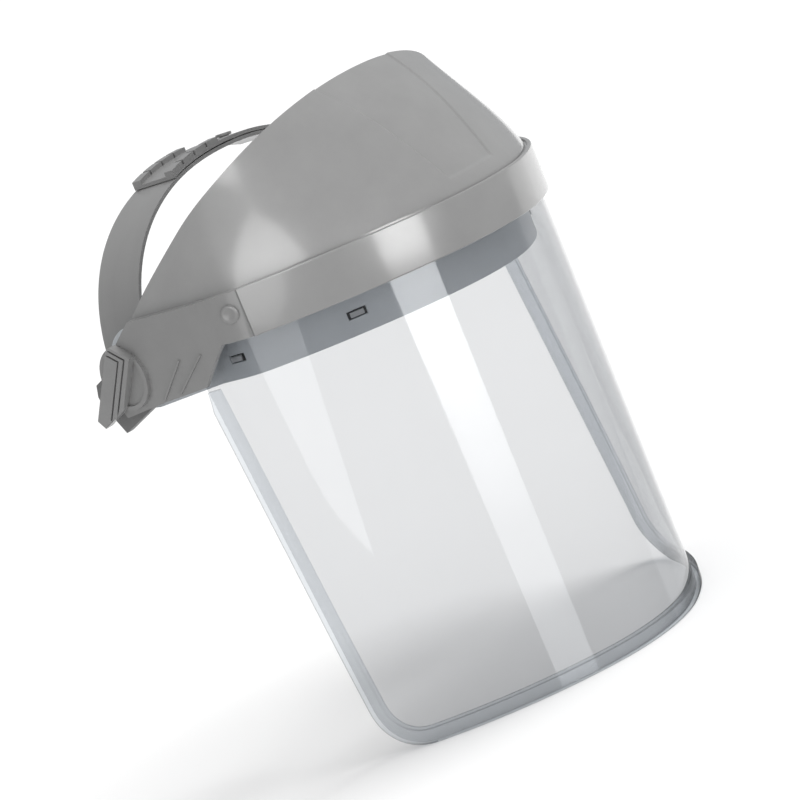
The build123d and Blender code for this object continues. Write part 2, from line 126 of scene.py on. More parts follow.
def finished(name, mesh, smooth_angle=38):
    """Object from a closed mesh: doubles merged, faces turned outwards, smooth but for its sharp edges."""
    work = bmesh.new()
    work.from_mesh(mesh)
    bmesh.ops.remove_doubles(work, verts=work.verts, dist=2e-6)
    bmesh.ops.dissolve_degenerate(work, edges=work.edges, dist=2e-6)
    bmesh.ops.recalc_face_normals(work, faces=work.faces)
    work.to_mesh(mesh)
    work.free()
    mesh.shade_smooth()
    mesh.set_sharp_from_angle(angle=math.radians(smooth_angle))
    piece = bpy.data.objects.new(name, mesh)
    scene.collection.objects.link(piece)
    print(name, len(mesh.vertices), "points")
    return piece


def smooth_step(low, high, value):
    """0 below low, 1 above high, and an even S between."""
    share = np.clip((value - low) / (high - low), 0, 1)
    return share * share * (3 - 2 * share)


# %% [markdown]
# Seen from above, the visor, the skirt and the headband all follow one curve: a nose arc, a flatter
# flank arc and a cheek arc on each side, then a straight run to the rear. Working with the distance
# along that curve and the distance outward from it unrolls every one of those pieces.

# %% The plan curve
NOSE_R, FLANK_R, CHEEK_R = 80.4 * MM, 169.7 * MM, 41.7 * MM
NOSE_TURN, FLANK_TURN = math.radians(24.6), math.radians(58.3)
visor_low, visor_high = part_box("visor")
NOSE_Y = -91.2 * MM
NOSE_RUN = NOSE_R * NOSE_TURN
FLANK_RUN = NOSE_RUN + FLANK_R * (FLANK_TURN - NOSE_TURN)
CHEEK_RUN = FLANK_RUN + CHEEK_R * (math.pi / 2 - FLANK_TURN)


def arc_centre(centre, old, new, turn):
    """Centre of an arc that carries on from another at the heading turn, with radius new instead of old."""
    return centre + (old - new) * np.array([math.sin(turn), -math.cos(turn)])


NOSE_C = np.array([0.0, NOSE_Y + NOSE_R])
FLANK_C = arc_centre(NOSE_C, NOSE_R, FLANK_R, NOSE_TURN)
CHEEK_C = arc_centre(FLANK_C, FLANK_R, CHEEK_R, FLANK_TURN)
SIDE_X, SIDE_Y = CHEEK_C[0] + CHEEK_R, CHEEK_C[1]


def plan(run):
    """Point and outward direction of the plan curve at a distance run from the middle of the front.

    Each arc turns by its length over its radius; past the last arc the curve goes straight back.
    """
    far = np.abs(run)
    heading = np.where(far < NOSE_RUN, far / NOSE_R, NOSE_TURN + (far - NOSE_RUN) / FLANK_R)
    heading = np.where(far < FLANK_RUN, heading, FLANK_TURN + (far - FLANK_RUN) / CHEEK_R)
    heading = np.minimum(heading, math.pi / 2)
    arc = [far < NOSE_RUN, far < FLANK_RUN]
    centre_x = np.select(arc, [NOSE_C[0], FLANK_C[0]], CHEEK_C[0])
    centre_y = np.select(arc, [NOSE_C[1], FLANK_C[1]], CHEEK_C[1])
    radius = np.select(arc, [NOSE_R, FLANK_R], CHEEK_R)
    out = np.stack([np.sin(heading), -np.cos(heading)], axis=-1)
    x = centre_x + radius * out[..., 0]
    y = centre_y + radius * out[..., 1] + np.maximum(far - CHEEK_RUN, 0)
    side = np.where(run < 0, -1.0, 1.0)
    return np.stack([side * x, y], axis=-1), out * np.stack([side, np.ones_like(side)], axis=-1)


def bend(run, outward, height):
    """Point that stands outward from the plan curve at this run, at this height."""
    point, out = plan(run)
    place = point + out * outward[..., None]
    return np.concatenate([place, (height + 0 * run)[..., None]], axis=-1)


def run_at(y):
    """Run along one side to this Y, on the straight part or just before it."""
    return CHEEK_RUN + y - SIDE_Y


def rounded(corners, radii, steps=4):
    """Closed outline through corners, each one cut to a quarter-like arc of its radius by a square curve."""
    corners = np.array(corners, float)
    before = np.roll(corners, 1, axis=0) - corners
    after = np.roll(corners, -1, axis=0) - corners
    before /= np.linalg.norm(before, axis=1)[:, None]
    after /= np.linalg.norm(after, axis=1)[:, None]
    reach = np.broadcast_to(np.array(radii, float), len(corners))[:, None]
    first, last = corners + before * reach, corners + after * reach
    share = np.linspace(0, 1, steps)[None, :, None]
    rest = 1 - share
    curve = first[:, None] * rest ** 2 + corners[:, None] * 2 * share * rest + last[:, None] * share ** 2
    return curve.reshape(-1, 2)


def swept(name, outline, runs):
    """A closed outline of (outward, height) carried along the plan curve through these runs."""
    run, outward = np.meshgrid(runs, outline[:, 0], indexing="ij")
    height = np.broadcast_to(outline[:, 1], run.shape)
    return grid_mesh(name, bend(run, outward, height))


print("half width of the visor", SIDE_X, "its run", CHEEK_RUN)

# %% [markdown]
# The visor is one polycarbonate sheet. It is drawn flat, as (run, height), with a leaning rear edge
# and a round lower corner, and then bent round the plan curve. Its free edge is a border strip, so
# the sheet and its moulded lip share the same points.

# %% Visor outline
VISOR_T = 1.2 * MM
VISOR_TOP = visor_high.z
REAR_LOW, REAR_TOP = -2.8 * MM, 23.8 * MM
CORNER_R = 26 * MM
BORDER = 9 * MM
SIDE_STEPS, CORNER_STEPS, WIDE_STEPS = 44, 14, 120


def visor_border(inset):
    """Flat outline drawn in by inset: down the left edge, round the corner, along the foot, and up.

    The corner arc touches the foot line and the leaning edge, so its centre lies inside both by its radius.
    """
    lean = math.atan2(REAR_TOP - REAR_LOW, VISOR_TOP)
    radius = CORNER_R - inset
    centre_z = inset + radius
    slide = (centre_z * math.sin(lean) - (inset + radius)) / math.cos(lean)
    centre_run = run_at(REAR_LOW) + slide
    angle = np.linspace(lean, math.pi / 2, CORNER_STEPS)
    corner = np.stack([centre_run + radius * np.cos(angle), centre_z - radius * np.sin(angle)], axis=-1)
    height = np.linspace(VISOR_TOP, corner[0, 1], SIDE_STEPS)[:-1]
    edge_run = corner[0, 0] + (height - corner[0, 1]) * math.tan(lean)
    half = np.concatenate([np.stack([edge_run, height], axis=-1), corner])
    foot_run = np.linspace(-1, 1, WIDE_STEPS)[1:-1] * half[-1, 0]
    foot = np.stack([foot_run, np.full(foot_run.shape, inset)], axis=-1)
    left = half * [-1, 1]
    return np.concatenate([left, foot, half[::-1]])


def flat_grid(border):
    """Rows that join the left and the right of a border, level by level, and end on its foot."""
    rows = SIDE_STEPS - 1 + CORNER_STEPS
    left, right_side = border[:rows], border[::-1][:rows]
    share = np.linspace(0, 1, WIDE_STEPS)[None, :, None]
    return left[:, None] * (1 - share) + right_side[:, None] * share


def bent(flat, outward):
    """Flat (run, height) points bent round the plan curve, at this distance outward."""
    return bend(flat[..., 0], np.broadcast_to(outward, flat.shape[:-1]), flat[..., 1])


# %% Visor sheet


def sheet_mesh():
    """Outer and inner faces of the sheet inside the border, joined along their edge."""
    flat = flat_grid(visor_border(0.6 * MM))
    outer, inner = bent(flat, 0.0), bent(flat, -VISOR_T)
    rows, columns = flat.shape[:2]
    index = np.arange(rows * columns).reshape(rows, columns)
    quads = np.stack([index[:-1, :-1], index[1:, :-1], index[1:, 1:], index[:-1, 1:]], axis=-1).reshape(-1, 4)
    ring = np.concatenate([index[0], index[1:, -1], index[-1, -2::-1], index[-2:0:-1, 0]])
    next_ring = np.roll(ring, -1)
    count = rows * columns
    wall = np.stack([ring, next_ring, next_ring + count, ring + count], axis=-1)
    faces = np.concatenate([quads, quads[:, ::-1] + count, wall])
    mesh = bpy.data.meshes.new("visor_sheet")
    mesh.from_pydata(np.concatenate([outer, inner]).reshape(-1, 3), [], faces.tolist())
    return finished("visor_sheet", mesh, 60)


visor_sheet = sheet_mesh()

# %% [markdown]
# The visor's lip is thicker material round its free edge. It is a rounded section carried along the
# border, and it dies away up the rear edges where the side plates cover it.

# %% Visor lip
LIP_OUT, LIP_WIDE, LIP_TOP = 3.2 * MM, 7 * MM, 191 * MM
LIP_IN = VISOR_T + 0.1 * MM
LIP_SKIN, LIP_FADE = 0.05 * MM, 9 * MM


def lip_mesh():
    """Section points are (inset from the edge, outward); each inset is the border drawn in by it."""
    toe = LIP_WIDE + 1 * MM
    section = rounded([(0, LIP_OUT), (LIP_WIDE, LIP_OUT), (LIP_WIDE, LIP_SKIN), (toe, LIP_SKIN),
                       (toe, -LIP_IN), (0, -LIP_IN)],
                      [1.4 * MM, 1.2 * MM, 0.03 * MM, 0.03 * MM, 0.2 * MM, 0.5 * MM], 5)
    borders = np.stack([visor_border(inset) for inset in section[:, 0]], axis=1)
    fade = 1 - smooth_step(LIP_TOP - LIP_FADE, LIP_TOP, borders[..., 1])
    outward = np.where(section[:, 1] > 0, section[:, 1] * fade + LIP_SKIN * (1 - fade), section[:, 1])
    keep = borders[:, 0, 1] < LIP_TOP + 2 * MM
    return grid_mesh("visor_lip", bend(borders[..., 0], outward, borders[..., 1])[keep])


visor_lip = lip_mesh()

# %% [markdown]
# The brow dome rises from the plan curve to a leaning rear rim. Each level is the plan curve drawn
# in: narrower with height, and shorter towards the rear. A shallow wedge-shaped panel is sunk in its
# middle, and both walls and the rim make one closed shell.

# %% Brow dome
STEP_Z, DOME_RISE = 235 * MM, 70 * MM
DOME_REAR, DOME_APEX = 48 * MM, -41 * MM
DOME_OUT, DOME_WALL = 0.5 * MM, 2.5 * MM
PANEL_HALF, PANEL_SPREAD, PANEL_FOOT, PANEL_DEEP = 15.6 * MM, 0.187, 242 * MM, 0.8 * MM


def dome_narrow(rise):
    """Width of the dome at a share of its rise, as a share of its width at the ledge."""
    return 1 - 0.72 * rise ** 2 * (1 - 0.78 * rise)


def dome_point(run, rise, inset):
    """The plan curve at a share of the dome's rise, drawn in towards the middle and towards the rear."""
    base = bend(run, np.full(run.shape, DOME_OUT), 0 * run)
    narrow = dome_narrow(rise) - inset / SIDE_X
    shorten = 1 - 0.27 * rise - 0.10 * rise ** 4 - inset / (DOME_REAR - NOSE_Y)
    return np.stack([base[..., 0] * narrow, DOME_REAR + (base[..., 1] - DOME_REAR) * shorten,
                     STEP_Z - inset + rise * DOME_RISE], axis=-1)


dome_runs = np.linspace(0, run_at(DOME_REAR - 0.4 * MM), 800)
plan_reach = plan(dome_runs)[0][:, 0]


def column_run(column, rise):
    """Run of a column, from -2 to 2: columns -1 and 1 keep to the panel's edges as those part with height."""
    wide = PANEL_HALF + PANEL_SPREAD * DOME_RISE * rise
    edge = np.interp(wide / dome_narrow(rise), plan_reach, dome_runs)
    far = np.abs(column)
    return np.sign(column) * np.where(far < 1, far * edge, edge + (far - 1) * (dome_runs[-1] - edge))


def rim_rise(column, inset):
    """Share of the rise at which each column meets the leaning rim plane, by halving the interval."""
    low, high = np.zeros(column.shape), np.full(column.shape, 1.06)
    for _ in range(40):
        half = (low + high) / 2
        point = dome_point(column_run(column, half), half, inset)
        share = (DOME_REAR - point[..., 1]) / (DOME_REAR - DOME_APEX)
        inside = (point[..., 2] - STEP_Z) < share * DOME_RISE
        low, high = np.where(inside, half, low), np.where(inside, high, half)
    return low


def dome_face(columns, shares, inset):
    """Grid of one wall: each column goes up from the ledge to the rim by these shares."""
    rise = rim_rise(columns, inset)[:, None] * shares[None, :]
    return dome_point(column_run(columns[:, None], rise), rise, inset)


def facing(points):
    """Outward direction of a grid, from the cross product of its two ways."""
    along, across = np.gradient(points, axis=0), np.gradient(points, axis=1)
    normal = np.cross(along, across)
    return normal / np.maximum(np.linalg.norm(normal, axis=-1), 1e-12)[..., None]


def dome_relief(points):
    """The panel lies a little below the dome: full depth inside its edges and above its foot."""
    beyond = np.abs(points[..., 0]) - PANEL_HALF - PANEL_SPREAD * (points[..., 2] - STEP_Z)
    above = smooth_step(PANEL_FOOT, PANEL_FOOT + 1.4 * MM, points[..., 2])
    return -PANEL_DEEP * smooth_step(0.6 * MM, -0.6 * MM, beyond) * above


def dome_mesh():
    """Outer wall, rolled rim and inner wall, one loop per column, closed along the ledge."""
    inside, beyond = np.linspace(0, 0.94, 24), 1 + np.linspace(0.11, 1, 90) ** 2
    half = np.concatenate([inside, [0.955, 0.97, 0.98, 0.99, 1, 1.0015, 1.003, 1.005, 1.008], beyond])
    columns = np.concatenate([-half[:0:-1], half])
    outer = dome_face(columns, np.linspace(0, 1, 100) ** 0.95, 0)
    inner = dome_face(columns, np.linspace(1, 0, 40) ** 0.95, DOME_WALL)
    direction = facing(outer)
    direction *= np.sign(np.sum(direction[:, 30] * [0, -1, 1], axis=-1))[:, None, None]
    outer += direction * dome_relief(outer)[..., None]
    outer = np.concatenate([outer[:, :1] - [0, 0, 1.8 * MM], outer], axis=1)
    rim = (outer[:, -1] + inner[:, 0]) / 2
    roll = (outer[:, -1] - rim) * 0.55
    lift = np.array([0, DOME_RISE, DOME_REAR - DOME_APEX])
    lift = lift / np.linalg.norm(lift) * 0.35 * MM
    edge = np.stack([rim + roll + lift, rim - roll + lift], axis=1)
    return grid_mesh("dome_shell", np.concatenate([outer, edge, inner], axis=1), smooth_angle=50)


dome_shell = dome_mesh()

# %% [markdown]
# Below the dome a skirt covers the top of the visor. Its section has a groove where it meets the
# dome, which reads as a dark line, then a narrow ledge with a round shoulder, and a plain face. It is
# carried round the front between the two side plates. A thinner flange goes on behind them, where
# the side plates are fixed.

# %% Skirt and flange
SKIRT_OUT, SKIRT_IN, SKIRT_LOW = 4.0 * MM, 1.6 * MM, 211.3 * MM
SEAM_Y = -21.5 * MM
FLANGE_OUT, FLANGE_IN, FLANGE_LOW = 2.0 * MM, 0.5 * MM, 216 * MM
LEDGE_IN = DOME_OUT - DOME_WALL


def cheek_run(y, outward):
    """Run on the cheek arc whose point at this distance outward has this Y."""
    heading = math.acos((SIDE_Y - y) / (CHEEK_R + outward))
    return FLANK_RUN + CHEEK_R * (heading - FLANK_TURN)


groove_z, groove_out = STEP_Z - 1.3 * MM, 2.0 * MM
skirt_outline = rounded([(LEDGE_IN, groove_z), (groove_out - 0.4 * MM, groove_z), (groove_out, STEP_Z),
                         (SKIRT_OUT, STEP_Z), (SKIRT_OUT, SKIRT_LOW), (SKIRT_IN, SKIRT_LOW),
                         (SKIRT_IN, STEP_Z - DOME_WALL), (LEDGE_IN, STEP_Z - DOME_WALL)],
                        np.array([0.3, 0.3, 0.4, 0.9, 0.7, 0.5, 0.5, 0.3]) * MM, 6)
seam_run = cheek_run(SEAM_Y, SKIRT_OUT)
brow_skirt = swept("brow_skirt", skirt_outline, np.linspace(-seam_run, seam_run, 260))

flange_outline = rounded([(LEDGE_IN, STEP_Z), (FLANGE_OUT, STEP_Z), (FLANGE_OUT, FLANGE_LOW),
                          (FLANGE_IN, FLANGE_LOW), (FLANGE_IN, STEP_Z - DOME_WALL),
                          (LEDGE_IN, STEP_Z - DOME_WALL)], 0.3 * MM, 4)
rear_runs = np.linspace(seam_run - 6 * MM, run_at(DOME_REAR), 60)
flange_right = swept("brow_flange_right", flange_outline, -rear_runs)
flange_left = swept("brow_flange_left", flange_outline, rear_runs)

# %% [markdown]
# The hard mouldings already have the right shape in CAD: side plates, detent springs, hubs, studs,
# straps and band. A copy of each has its doubles merged and its flat triangles joined, and a narrow
# Bevel then rounds the edges, because it is the rounded edges that catch the light on a real part.

# %% Moulded copies


def moulded(name, node, width, segments=3, angle=32):
    """Copy of a CAD node with its sharp edges rounded to this width."""
    work = bmesh.new()
    work.from_mesh(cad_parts[node].data)
    bmesh.ops.remove_doubles(work, verts=work.verts, dist=5e-6)
    bmesh.ops.dissolve_limit(work, angle_limit=math.radians(0.6), verts=work.verts, edges=work.edges)
    mesh = bpy.data.meshes.new(name)
    work.to_mesh(mesh)
    work.free()
    piece = finished(name, mesh, angle)
    edge = piece.modifiers.new("edge", "BEVEL")
    edge.width = width
    edge.segments = segments
    edge.limit_method = "ANGLE"
    edge.angle_limit = math.radians(angle)
    edge.use_clamp_overlap = True
    edge.harden_normals = True
    return piece


MOULDED = {
    "side_plate": 0.45, "detent_spring": 0.4, "hub": 0.5, "pivot_pin": 0.4, "pivot_washer": 0.2,
    "stud_washer": 0.2, "rear_strap": 0.35,
}
moulded_pieces = {}
for stem, width in MOULDED.items():
    for side in ("right", "left"):
        node = f"{stem}_{side}"
        moulded_pieces[node] = moulded(node + "_moulding", node, width * MM)
for node, width in (("strap_peg", 0.4), ("forehead_band", 0.35), ("pad_tabs", 0.3), ("visor_clips", 0.3)):
    moulded_pieces[node] = moulded(node + "_moulding", node, width * MM)

# %% [markdown]
# Each visor stud is turned: a low head with a rounded shoulder and a shallow dish, on a plain shank.
# Its profile is a few points of radius and distance along the stud, carried round a full circle.

# %% Visor studs


def turned(name, profile, base, axis, steps=64):
    """A closed profile of (radius, along) carried round an axis through base; the ends lie on the axis."""
    axis = np.array(axis, float) / np.linalg.norm(axis)
    first = np.cross(axis, [0, 0, 1.0])
    first /= np.linalg.norm(first)
    second = np.cross(axis, first)
    angle = np.linspace(0, 2 * math.pi, steps, endpoint=False)
    circle = np.cos(angle)[:, None] * first + np.sin(angle)[:, None] * second
    profile = np.array(profile, float)
    points = base + profile[:, None, 1:] * axis + profile[:, None, :1] * circle
    return grid_mesh(name, points, smooth_angle=40)


PLATE_OUT = 4.6 * MM
STUD_PROFILE = np.array([(0.01, -8.0), (2.5, -8.0), (2.5, 0.05), (4.4, 0.05), (4.5, 0.5), (4.2, 1.1),
                         (3.6, 1.45), (3.0, 1.5), (2.4, 1.3), (0.01, 1.2)]) * MM
for side, tag in ((-1, "right"), (1, "left")):
    low, high = (np.array(corner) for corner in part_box("visor_stud_" + tag))
    centre = (low + high) / 2
    out = np.array([centre[0] - side * CHEEK_C[0], centre[1] - CHEEK_C[1], 0])
    out /= np.linalg.norm(out)
    face = np.array([side * CHEEK_C[0], CHEEK_C[1], centre[2]]) + out * (CHEEK_R + PLATE_OUT)
    moulded_pieces["visor_stud_" + tag] = turned("visor_stud_turned_" + tag, STUD_PROFILE, face, out)

# %% [markdown]
# The sweat pad is a strip of foam in brushed cloth. Its section is a flat back against the band and a
# crowned front, pinched at each end and gently quilted by the tabs that hold it.

# %% Sweat pad
pad_low, pad_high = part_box("sweat_pad")
PAD_BACK, PAD_T = -11.6 * MM, 4 * MM
PAD_REAR = 14 * MM
PAD_TAB_TURN = math.radians(42)


def pad_mesh():
    """Section is a squared ring; its thickness swells in the middle, and dips where the tabs hold it."""
    end = run_at(PAD_REAR)
    runs = np.linspace(-end, end, 420)
    angle = np.linspace(0, 2 * math.pi, 40, endpoint=False)
    middle_z, half_z = (pad_low.z + pad_high.z) / 2, (pad_high.z - pad_low.z) / 2
    across, up_down = np.cos(angle), np.sin(angle)
    square = np.sign(across) * np.abs(across) ** 0.55, np.sign(up_down) * np.abs(up_down) ** 0.6
    pinch = np.sqrt(np.clip((end - np.abs(runs)) / (6 * MM), 0.0, 1))[:, None]
    tab_runs = [FLANK_RUN - FLANK_R * (FLANK_TURN - PAD_TAB_TURN), CHEEK_RUN - 1.5 * MM]
    dip = sum(np.exp(-((np.abs(runs) - spot) / (5 * MM)) ** 2) for spot in tab_runs)[:, None]
    ripple = 0.12 * np.sin(runs / (9 * MM) * 2 * math.pi)[:, None] * np.abs(square[0])
    thick = PAD_T / 2 * (0.25 + 0.75 * pinch) * (1 - 0.22 * dip)
    outward = PAD_BACK - PAD_T / 2 + square[0] * thick + np.minimum(square[0], 0) * ripple * MM * 2
    height = middle_z + square[1] * half_z * (0.72 + 0.28 * pinch) + 0 * runs[:, None]
    place = bend(np.broadcast_to(runs[:, None], outward.shape), outward, height)
    return grid_mesh("sweat_pad_foam", place, smooth_angle=80)


pad = pad_mesh()

# %% [markdown]
# Shader maths reads best as ordinary expressions. A small class wraps a socket, and its operators put
# in the Math nodes. One method makes any other node: its settings first, then its sockets.

# %% Socket class


class Socket:
    """An output socket of a material's nodes that can be added, multiplied and compared."""

    def __init__(self, finish, socket):
        self.finish, self.socket = finish, socket

    def math(self, operation, *others, clamp=False):
        values = dict(enumerate((self, *others)))
        return self.finish.node("Math", {"operation": operation, "use_clamp": clamp}, values)

    def __add__(self, other):
        return self.math("ADD", other)

    def __sub__(self, other):
        return self.math("SUBTRACT", other)

    def __rsub__(self, other):
        return self.finish.node("Math", {"operation": "SUBTRACT"}, {0: other, 1: self})

    def __mul__(self, other):
        return self.math("MULTIPLY", other)

    def __pow__(self, other):
        return self.math("POWER", other)

    def clip(self):
        return self.math("ADD", 0.0, clamp=True)

    def band(self, low, high):
        """0 below low, 1 above high, eased between."""
        sockets = {"Value": self, "From Min": low, "From Max": high}
        return self.finish.node("MapRange", {"interpolation_type": "SMOOTHSTEP"}, sockets)

    __radd__, __rmul__ = __add__, __mul__


class Finish:
    """A material under construction, or the room's nodes when the world is given as its owner."""

    def __init__(self, name, owner=None):
        self.material = owner or bpy.data.materials.new(name)
        self.material.use_nodes = True
        self.tree = self.material.node_tree
        self.tree.nodes.clear()

    def node(self, kind, settings=None, sockets=None, out=0):
        """Makes a node: its settings, then each socket's value or link; returns one output."""
        made = self.tree.nodes.new("ShaderNode" + kind)
        for key, value in (settings or {}).items():
            setattr(made, key, value)
        for key, value in (sockets or {}).items():
            if isinstance(value, Socket):
                self.tree.links.new(value.socket, made.inputs[key])
            else:
                made.inputs[key].default_value = value
        return Socket(self, made.outputs[out])

    def place(self, scale=(1, 1, 1)):
        """Object coordinates, stretched."""
        coordinates = self.node("TexCoord", out="Object")
        return self.node("Mapping", None, {"Vector": coordinates, "Scale": scale})

    def noise(self, scale, detail=3, rough=0.5, stretch=(1, 1, 1)):
        """Noise from 0 to 1; scale is in spots per metre."""
        sockets = {"Vector": self.place(stretch), "Scale": scale, "Detail": detail, "Roughness": rough}
        return self.node("TexNoise", None, sockets, "Fac")

    def mix(self, share, low, high):
        """Colour between low and high."""
        return self.node("Mix", {"data_type": "RGBA"}, {0: share, 6: low, 7: high}, 2)

    def height(self):
        """Height of a point of the object above the floor, in metres."""
        return self.node("SeparateXYZ", None, {0: self.node("TexCoord", out="Object")}, "Z")

    def bump(self, relief, strength, distance):
        """Normal that follows a relief of this depth in metres."""
        return self.node("Bump", None, {"Strength": strength, "Distance": distance, "Height": relief})

    def close(self, shader, kind="Material"):
        output = self.tree.nodes.new("ShaderNodeOutput" + kind)
        self.tree.links.new(shader.socket, output.inputs["Surface"])
        print("finish", self.material.name, len(self.tree.nodes), "nodes")
        return self.material


def grey(value, warm=1.0):
    """A grey as a colour; warm above 1 turns it to red, below 1 to blue."""
    return value * warm, value, value / warm, 1.0


# %% [markdown]
# The grey mouldings are injection-moulded plastic. Up close such plastic is not one flat grey: the
# colour drifts slowly, faint flow lines run through it, there are a few darker specks, and a fine
# moulded grain breaks up the gloss. The same recipe with other numbers makes each moulding's finish.

# %% Plastic recipe
DRIFT, GRAIN, SKIN_DEPTH = 0.05, 0.06, 0.0004


def plastic(name, tone, warm, roughness, coat=0.0, flow=(1, 1, 1)):
    """Grey plastic: coat is how glossy its top layer is, flow stretches its flow lines."""
    finish = Finish(name)
    slow = finish.noise(14, 3)
    streak = finish.noise(60, 5, 0.6, flow)
    fine = finish.noise(2600, 2)
    dust = finish.noise(1500, 2, 0.6).band(0.70, 0.80) * 0.5
    tone_share = (slow * 0.55 + streak * 0.45).band(0.30, 0.70)
    colour = finish.mix(tone_share, grey(tone * (1 - DRIFT), warm), grey(tone * (1 + DRIFT), warm))
    colour = finish.mix(dust * 0.35, colour, grey(tone * 0.45, warm))
    wear = finish.noise(240, 6, 0.75, (1, 1, 0.35)).band(0.58, 0.74)
    rough = (slow - 0.5) * 0.10 + (fine - 0.5) * 0.05 + wear * 0.07 + roughness
    normal = finish.bump(fine * 0.5 + streak * 0.5, GRAIN, SKIN_DEPTH)
    shader = finish.node("BsdfPrincipled", None, {
        "Base Color": colour, "Roughness": rough, "Normal": normal, "IOR": 1.5,
        "Coat Weight": coat, "Coat Roughness": 0.12,
    })
    return finish.close(shader)


guard_plastic = plastic("guard_plastic", 0.310, 1.003, 0.30, coat=0.9)
plate_plastic = plastic("plate_plastic", 0.262, 1.003, 0.34, coat=0.4)
strap_plastic = plastic("strap_plastic", 0.260, 1.003, 0.36, coat=0.3, flow=(0.2, 1, 0.2))
# The band's tone is painted light: lighter than the guard's grey to brighten it in the shade under the dome,
# and bluish as a painted reflection of the visor in front of it.
band_plastic = plastic("band_plastic", 0.56, 0.95, 0.42)
pin_plastic = plastic("pin_plastic", 0.20, 1.0, 0.40)
# The hub's tone, darker than the other grey mouldings, is painted shade for the shade under the side plate.
hub_plastic_painted_shade = plastic("hub_plastic_painted_shade", 0.17, 1.0, 0.40)
washer_plastic = plastic("washer_plastic", 0.60, 1.03, 0.45)
tab_plastic = plastic("tab_plastic", 0.42, 0.97, 0.30)

# %% [markdown]
# Clear polycarbonate lets most light straight through, takes a little of it, and mirrors its
# surroundings, more so at a glancing angle. A sheet this thin needs no bending of the light, so a
# transparent shader is mixed with a mirroring one, and light still falls through the visor.

# %% Clear sheet


def clear(name, tint, body_tone, body, straight, roughness, foot=0.0, glancing=5, edge=1.0):
    """Clear plastic: tint is what one face lets through, body how cloudy it is, foot extra cloud at the foot
    as painted shade.

    It mirrors by Schlick's rule: a share called straight when seen square on, and the rest by facing to
    a power, glancing, which is five for one clean face and less for a thick rounded edge. Edge is how
    bright its mirror is at a graze.
    """
    finish = Finish(name)
    glance = finish.node("LayerWeight", None, {"Blend": 0.5}, "Facing")
    mirror = glance ** glancing * (1 - straight) + straight
    smear = finish.noise(22, 4, 0.6, (1, 1, 0.3)).band(0.45, 0.75)
    scratch = finish.noise(900, 2, 0.5, (0.06, 0.06, 1)).band(0.68, 0.76)
    # Painted shade: low grows towards the foot, where it adds the foot's cloud and darkens the mirror's
    # colour.
    low = 1 - finish.height().band(0.0, 0.16)
    cloud = smear * 0.006 + scratch * 0.008 + low * foot + body
    share = (mirror * (1 - cloud) + cloud).clip()
    colour = finish.mix(low, grey(body_tone, 0.985), grey(body_tone * 0.85, 0.98))
    rough = smear * 0.04 + roughness
    glossy = finish.node("BsdfPrincipled", None, {
        "Base Color": colour, "Roughness": rough, "Metallic": 1.0, "Specular Tint": (edge, edge, edge, 1),
    })
    through = finish.node("BsdfTransparent", None, {"Color": tint})
    return finish.close(finish.node("MixShader", None, {0: share, 1: through, 2: glossy}))


# The visor's foot of 0.035 is painted shade on its lower part.
visor_clear = clear("visor_clear", (0.878, 0.882, 0.888, 1), 0.60, 0.0, 0.036, 0.02, foot=0.035)
lip_clear = clear("lip_clear", (0.97, 0.985, 1.0, 1), 0.05, 0.0, 0.06, 0.03, glancing=3.0, edge=0.06)

# %% [markdown]
# The sweat pad's cloth is dark and brushed: a short nap over a fine knit. The knit follows the pad's
# own place, and sheen gives the soft light edge that brushed cloth has.

# %% Pad cloth


def cloth(name, tone):
    """Brushed knit: fine loops under a nap, with a slow drift in tone."""
    finish = Finish(name)
    loops = finish.node("TexVoronoi", None, {"Vector": finish.place((1, 1, 1.6)), "Scale": 900}, "Distance")
    nap = finish.noise(1600, 4, 0.7)
    slow = finish.noise(30, 3)
    colour = finish.mix((loops * 0.6 + nap * 0.5).band(0.2, 0.9), grey(tone * 0.5), grey(tone * 1.5, 0.98))
    colour = finish.mix(slow * 0.25, colour, grey(tone * 0.6))
    normal = finish.bump(loops + nap * 0.6, 0.5, SKIN_DEPTH)
    shader = finish.node("BsdfPrincipled", None, {
        "Base Color": colour, "Roughness": 0.9, "Normal": normal, "Sheen Weight": 0.4, "Sheen Roughness": 0.5,
    })
    return finish.close(shader)


pad_cloth = cloth("pad_cloth", 0.055)

# %% [markdown]
# Each piece now gets its finish, its place in the frame and the CAD node that it stands for.

# %% Fit the pieces


def fit(piece, material, body, slot, *nodes):
    """Gives a piece its finish and its body, and hides the CAD nodes it replaces; slot is not used."""
    piece.data.materials.clear()
    piece.data.materials.append(material)
    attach(piece, body)
    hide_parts(*nodes)


fit(visor_sheet, visor_clear, "browguard", "clear_sheet", "visor")
fit(visor_lip, lip_clear, "browguard", "clear_sheet", "visor")
for piece in (dome_shell, brow_skirt, flange_right, flange_left):
    fit(piece, guard_plastic, "browguard", "grey_plastic", "brow_dome")
fit(pad, pad_cloth, "headband", "pad_cloth", "sweat_pad")

STEMS = {
    "side_plate": (plate_plastic, "browguard", "grey_plastic"),
    "detent_spring": (plate_plastic, "browguard", "grey_plastic"),
    "visor_clips": (plate_plastic, "browguard", "grey_plastic"),
    "visor_stud": (plate_plastic, "browguard", "grey_plastic"),
    "stud_washer": (washer_plastic, "browguard", "washer_plastic"),
    "hub": (hub_plastic_painted_shade, "headband", "grey_plastic"),
    "pivot_pin": (pin_plastic, "headband", "pin_plastic"),
    "pivot_washer": (washer_plastic, "headband", "washer_plastic"),
    "forehead_band": (band_plastic, "headband", "band_plastic"),
    "pad_tabs": (tab_plastic, "headband", "band_plastic"),
    "rear_strap": (strap_plastic, "rear_strap", "strap_plastic"),
    "strap_peg": (strap_plastic, "rear_strap", "strap_plastic"),
}
for node, piece in moulded_pieces.items():
    stem = node.removesuffix("_right").removesuffix("_left")
    fit(piece, *STEMS[stem], node)

